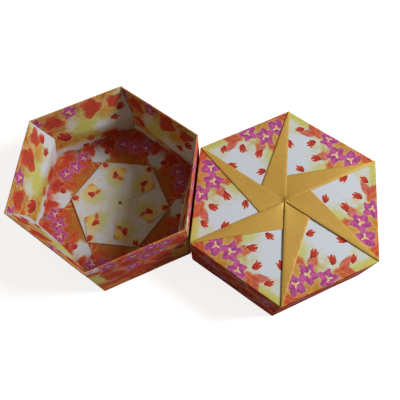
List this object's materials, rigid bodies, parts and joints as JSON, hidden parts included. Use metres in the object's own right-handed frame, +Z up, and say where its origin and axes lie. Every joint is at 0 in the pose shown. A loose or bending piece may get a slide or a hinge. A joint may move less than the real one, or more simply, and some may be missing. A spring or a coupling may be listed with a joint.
{
  "type": "hexagonal gift box",
  "caption": "Hexagonal folded-paper gift box with a floral print: open base with printed lining and pinwheel floor, and a lift-off lid with gold pleats meeting at its centre.",
  "frame": {"origin": "bottom centre of the pair's bounding box, on the surface that base and lid stand on", "axes": "+X from the open base to the lid, along the row; +Z up, the way the lid lifts; +Y away from the front"},
  "size_m": [0.2576, 0.1514, 0.064],
  "materials": {
    "base_paper": "smooth printed paper, floral pattern in purple, red, orange and yellow-green on a pale ground",
    "lid_paper": "smooth printed paper with a plain gold reverse that shows on the pleats"
  },
  "bodies": {
    "base": {"base_sheet_1": "base_paper", "base_sheet_2": "base_paper", "base_sheet_3": "base_paper", "base_sheet_4": "base_paper", "base_sheet_5": "base_paper", "base_sheet_6": "base_paper"},
    "lid": {"lid_sheet_1": "lid_paper", "lid_sheet_2": "lid_paper", "lid_sheet_3": "lid_paper", "lid_sheet_4": "lid_paper", "lid_sheet_5": "lid_paper", "lid_sheet_6": "lid_paper"}
  },
  "joints": [
    {"name": "lid_lift", "type": "slide", "parent": "base", "child": "lid", "axis": [0, 0, 1], "range_m": [0, 0.08]}
  ]
}
